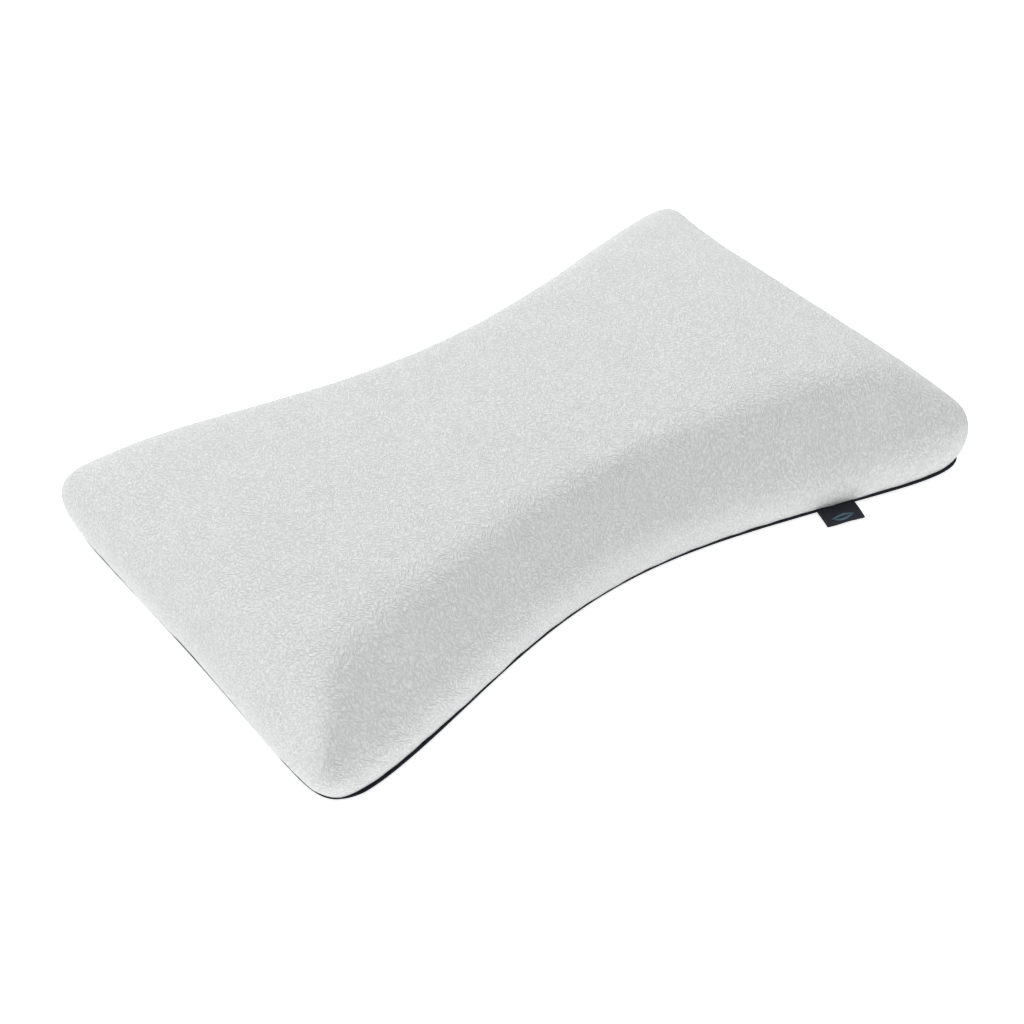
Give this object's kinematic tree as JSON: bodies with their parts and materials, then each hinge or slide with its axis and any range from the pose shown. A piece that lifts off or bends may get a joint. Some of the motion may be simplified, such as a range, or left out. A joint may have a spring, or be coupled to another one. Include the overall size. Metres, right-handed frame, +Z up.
{
  "type": "cervical pillow",
  "caption": "Contoured neck-support pillow: waisted foam core in a hipped knit cover with a dark base panel, piping, a zip with a sliding pull, and sewn side labels.",
  "frame": {"origin": "middle of the underside, where the pillow rests", "axes": "+X along the length to the zipped end, -Y to the front edge that carries the side label, +Z up"},
  "size_m": [0.6006, 0.3697, 0.0906],
  "materials": {
    "foam": "matte",
    "liner": "matte",
    "knit": "matte",
    "base_cloth": "matte",
    "piping": "matte",
    "cord": "matte",
    "zip_tape": "matte",
    "zip_coil": "satin",
    "zip_metal": "satin",
    "label_cloth": "satin",
    "care_cloth": "satin"
  },
  "bodies": {
    "pillow": {"foam_core": "foam", "liner_top": "liner", "liner_base": "liner", "cover_top": "knit", "cover_base": "base_cloth", "piping_cloth": "piping", "piping_cord": "cord", "zip_tape_upper": "zip_tape", "zip_tape_lower": "zip_tape", "zip_coil_upper": "zip_coil", "zip_coil_lower": "zip_coil", "zip_top_stops": "zip_metal", "zip_bottom_stop": "zip_metal", "zip_end_tabs": "zip_tape"},
    "slider": {"zip_slider": "zip_metal"},
    "pull": {"zip_pull_tab": "zip_metal"},
    "front_tab": {"side_label": "label_cloth"},
    "back_tab": {"care_label": "care_cloth"}
  },
  "joints": [
    {"name": "zip_travel", "type": "slide", "parent": "pillow", "child": "slider", "axis": [0, -1, 0], "range_m": [0, 0.2281]},
    {"name": "pull_turn", "type": "hinge", "parent": "slider", "child": "pull", "pos_m": [0.2993, 0.1135, 0.012], "axis": [0, 0, 1], "range_deg": [0, 170]},
    {"name": "side_label_fold", "type": "hinge", "parent": "pillow", "child": "front_tab", "pos_m": [0.17339, -0.1625, 0.0036], "axis": [-0.9637, 0.2671, 0], "range_deg": [0, 60], "stiffness_Nm_per_rad": 0.0001},
    {"name": "care_label_fold", "type": "hinge", "parent": "pillow", "child": "back_tab", "pos_m": [-0.06962, 0.13882, 0.0036], "axis": [0.9865, -0.164, 0], "range_deg": [0, 60], "stiffness_Nm_per_rad": 0.0003}
  ]
}
